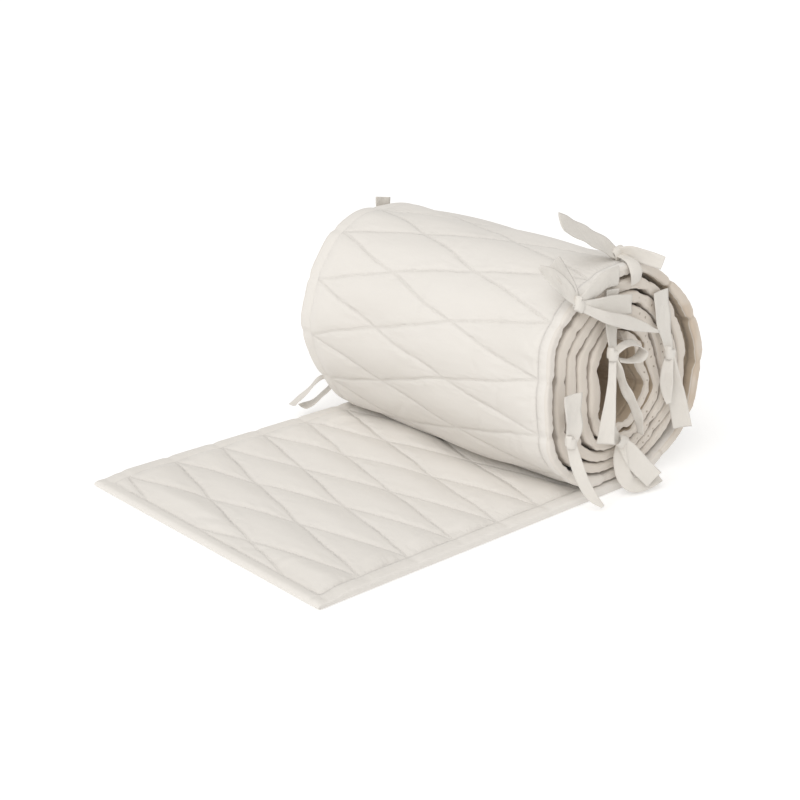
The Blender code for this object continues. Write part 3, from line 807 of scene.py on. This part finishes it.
def painted_shade(n, colour, phase, inside):
    """Painted shade: browner colour where little light comes in. phase counts diamonds along
    the panel: the roll begins at 6.3, its outer turn ends at 19 and the last one at 55."""
    end = n.step(inside, EDGE_FACE, -0.0100, 1.0, 0.0)
    face = n.step(inside, -0.0105, -0.0085)
    wound = n.step(phase, 6.5, 8.5)
    inner = n.step(phase, 18.3, 19.3)
    rim = n.math("MULTIPLY", n.step(phase, 11.5, 13.5), n.math("SUBTRACT", 1.0, inner))

    # painted shade on the long edges of the windings, less on the outer turn's top and left
    end_shade_weight = n.math("MULTIPLY", wound, n.math("SUBTRACT", 1.0, n.math("MULTIPLY", rim, 0.55)))
    colour = n.mix(n.math("MULTIPLY", end, end_shade_weight), colour, (0.715, 0.655, 0.585, 1.0))

    # painted shade between the windings, fading over the first 7 cm in from a border line
    between = n.product(face, n.step(inside, -0.002, 0.070, 1.0, 0.0), n.math("MULTIPLY", inner, 0.60))
    colour = n.mix(between, colour, (0.50, 0.42, 0.34, 1.0))

    # painted shade inside the slack outer turn and inside the roll's hollow core
    slack = n.math("MULTIPLY", n.step(phase, 8.0, 9.0), n.step(phase, 12.5, 13.5, 0.90, 0.0))
    slack = n.math("ADD", slack, n.step(phase, 43.0, 46.0, 0.0, 0.90))
    slack = n.math("MULTIPLY", slack, n.math("MULTIPLY", n.attribute("inner_side")[0], face))
    colour = n.mix(slack, colour, (0.50, 0.40, 0.29, 1.0))

    # painted shade in the tucks where the stitch lines end at the outer turn's edge
    tuck_shade = n.step(n.math("PINGPONG", n.math("ADD", phase, 0.5), 0.5), 0.010, 0.050, 0.55, 0.0)
    most = n.math("MAXIMUM", inner, n.math("MULTIPLY", rim, 0.8))
    outer = n.math("MULTIPLY", wound, n.math("SUBTRACT", 1.0, most))
    colour = n.mix(n.math("MULTIPLY", tuck_shade, n.math("MULTIPLY", end, outer)), colour, (0.40, 0.33, 0.26, 1.0))

    # painted uneven shade on the outer turn's edge at the right
    side = n.product(n.step(phase, 7.0, 8.5), n.step(phase, 11.0, 12.5, 1.0, 0.0), end)
    side = n.math("MULTIPLY", side, n.step(n.noise(30.0, 1.0), 0.42, 0.58, 0.40, 0.95))
    return n.mix(side, colour, (0.60, 0.50, 0.40, 1.0))


def stitch_marks(n, phase, inside):
    """Share of the small stitches that show in the middle of the inner windings' edges, at
    the roll's right and with gaps."""
    seam = n.step(n.math("ABSOLUTE", n.math("ADD", inside, 0.0175)), 0.0004, 0.0015, 1.0, 0.0)
    wander = n.math("ADD", n.math("MULTIPLY", phase, 5.5), n.math("MULTIPLY", n.noise(40.0, 1.0), 0.6))
    dot = n.step(n.math("PINGPONG", wander, 0.5), 0.05, 0.13, 1.0, 0.0)
    some = n.product(n.step(phase, 23.0, 26.0), n.step(n.place("X"), 0.004, 0.014),
                     n.step(n.noise(55.0, 1.0), 0.40, 0.52))
    return n.math("MULTIPLY", n.product(dot, seam, some), 0.80)


def quilted_cotton():
    """Ivory cotton over wadding: a groove and a row of stitches on each quilting line,
    fine puckers beside it, a plain weave, slow changes of tone, painted shade in the
    grooves, and painted brown shade between the windings and on the roll's ends."""
    n = Nodes("ivory quilted cotton")
    phase, row, inside = n.attribute("quilt")
    nearest = nearest_line(n, phase, row, inside)
    groove = n.step(nearest, 0.0, 0.0020, 1.0, 0.0)
    normal = cotton_normal(n, nearest, groove, row)
    colour = n.mix(n.noise(9.0, 3.0), (0.752, 0.718, 0.672, 1.0), (0.795, 0.765, 0.724, 1.0))
    # painted shade: the colour darkens a little in the grooves of the stitch lines
    colour = n.mix(n.math("MULTIPLY", groove, 0.10), colour, (0.66, 0.61, 0.55, 1.0))
    # painted shade: browner colour on the roll's ends, between its windings and in its core
    colour = painted_shade(n, colour, phase, inside)
    colour = n.mix(stitch_marks(n, phase, inside), colour, (0.30, 0.235, 0.17, 1.0))
    return n.cloth(colour, normal, roughness=0.88, specular=0.25, sheen=0.25)


def cotton_ribbon():
    """Ivory cotton ribbon: fine ribs along and across it, soft crumples and slow changes
    of tone."""
    n = Nodes("ivory cotton ribbon")
    across, along, _ = n.attribute("weave")
    rib = n.math("SINE", n.math("MULTIPLY", across, 2.0 * math.pi / 0.0009))
    cross = n.math("SINE", n.math("MULTIPLY", along, 2.0 * math.pi / 0.0007))
    normal = n.bump(n.noise(45.0, 3.0), 1.0, 0.0024)
    normal = n.bump(n.math("MULTIPLY", rib, cross), 0.30, 0.00018, normal)
    colour = n.mix(n.noise(14.0, 2.0), (0.712, 0.674, 0.618, 1.0), (0.765, 0.732, 0.684, 1.0))
    return n.cloth(colour, normal, roughness=0.80, specular=0.30, sheen=0.20)


# ---------------------------------------------------------------- scene


def make_camera():
    """72 mm lens on a 36 mm sensor at the photograph's viewing angle."""
    camera_data = bpy.data.cameras.new("camera")
    camera_data.lens = 72.0
    camera_data.sensor_width = 36.0
    camera_data.sensor_fit = "HORIZONTAL"
    camera_data.clip_start = 0.05
    camera = bpy.data.objects.new("camera", camera_data)
    bpy.context.scene.collection.objects.link(camera)
    azimuth, elevation, distance = math.radians(-41.8), math.radians(20.32), 1.5457
    back = np.array((math.sin(azimuth) * math.cos(elevation), -math.cos(azimuth) * math.cos(elevation),
                     math.sin(elevation)))
    looked_at = np.array((0.0, 0.1353, 0.0))
    camera.location = looked_at + back * distance
    camera.rotation_euler = (math.pi / 2.0 - elevation, 0.0, azimuth)
    bpy.context.scene.camera = camera


def make_light(name, direction, strength, softness):
    """Soft lamp far away, shining along the direction."""
    data = bpy.data.lights.new(name, "SUN")
    data.energy = strength
    data.angle = math.radians(softness)
    lamp = bpy.data.objects.new(name, data)
    bpy.context.scene.collection.objects.link(lamp)
    x, y, z = np.asarray(direction, float) / np.linalg.norm(direction)
    lamp.rotation_euler = (math.acos(-z), 0.0, math.atan2(-x, y))


def make_stage():
    """Plain white table that glows a little, white sky, and one large soft lamp high behind
    the camera, a little to its left."""
    size, level = 6.0, -0.0002  # a hair below the part's lowest points
    corners = [(x * size, y * size, level) for x, y in ((-1, -1), (1, -1), (1, 1), (-1, 1))]
    floor = new_mesh("floor", corners, [(0, 1, 2, 3)])
    material = bpy.data.materials.new("white floor")
    material.use_nodes = True
    shader = material.node_tree.nodes["Principled BSDF"]
    shader.inputs["Base Color"].default_value = (0.78, 0.78, 0.78, 1.0)
    shader.inputs["Emission Color"].default_value = (1.0, 1.0, 1.0, 1.0)
    shader.inputs["Emission Strength"].default_value = 0.36
    shader.inputs["Roughness"].default_value = 0.9
    floor.data.materials.append(material)
    world = bpy.data.worlds.new("white studio")
    world.use_nodes = True
    world.node_tree.nodes["Background"].inputs["Color"].default_value = (1.0, 0.985, 0.960, 1.0)
    world.node_tree.nodes["Background"].inputs["Strength"].default_value = 0.59
    bpy.context.scene.world = world
    make_light("key", (0.63, 0.29, -0.74), 1.50, 50.0)
    bpy.context.scene.view_settings.view_transform = "Standard"
    return floor


def main():
    """Camera, stage, the panel and its ties, with the model's parts hidden in their place."""
    make_camera()
    floor = make_stage()
    cotton, ribbon = quilted_cotton(), cotton_ribbon()
    panel, length = make_panel()
    panel.data.materials.append(cotton)
    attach(panel, "root")
    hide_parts("bumper")
    for name, (knot, knot_axis, strips) in TIES.items():
        tie, run = make_tie(name, knot, knot_axis, strips)
        tie.data.materials.append(ribbon)
        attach(tie, "root")
        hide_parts(name)


main()
